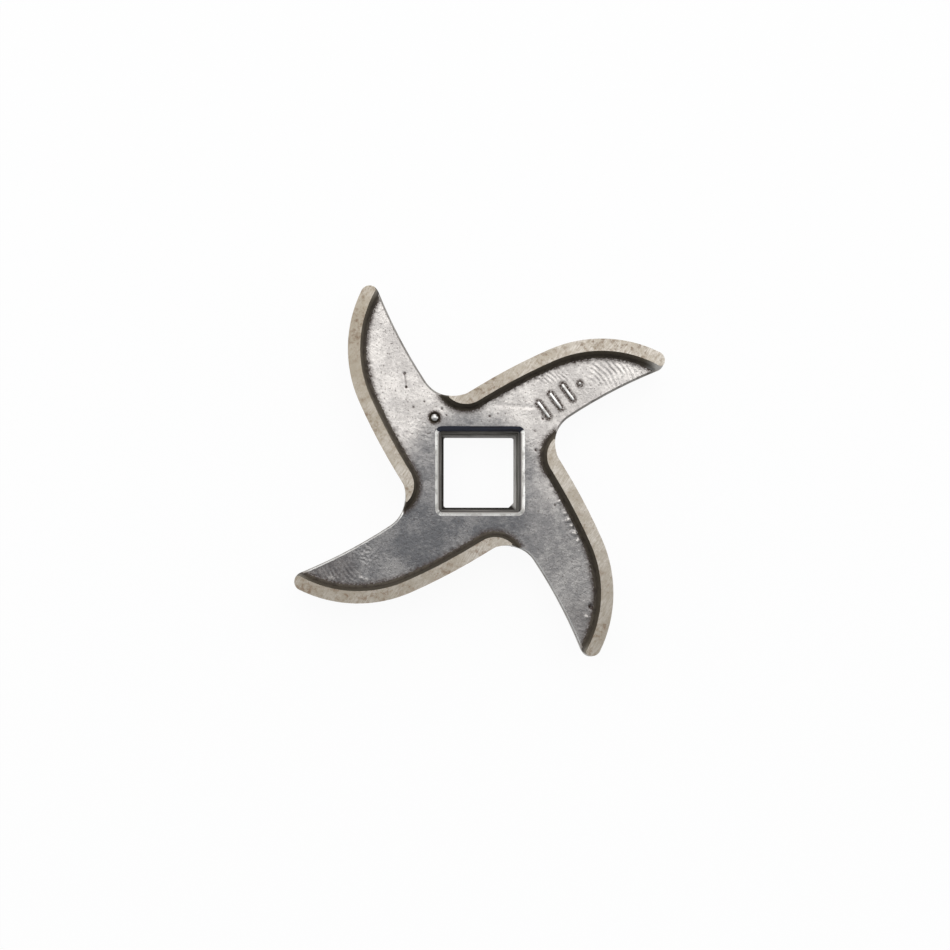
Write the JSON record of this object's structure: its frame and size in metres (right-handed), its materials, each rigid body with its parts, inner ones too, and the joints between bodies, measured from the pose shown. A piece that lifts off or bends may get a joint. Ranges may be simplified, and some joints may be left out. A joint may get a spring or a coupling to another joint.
{
  "type": "meat grinder knife",
  "caption": "Hook-armed pinwheel knife with raised ground lands on its leading edges and a square drive hole through a flat hub.",
  "frame": {"origin": "centre of the square drive hole at the hub's flat back face", "axes": "+Z along the hole, from the back towards the ground lands; X and Y run along the sides of the square hole"},
  "size_m": [0.079, 0.079, 0.012],
  "materials": {
    "cast_steel": "dull satin casting with brown grime in its corners, and finely ground lands"
  },
  "bodies": {
    "root": {"knife": "cast_steel"}
  },
  "joints": []
}
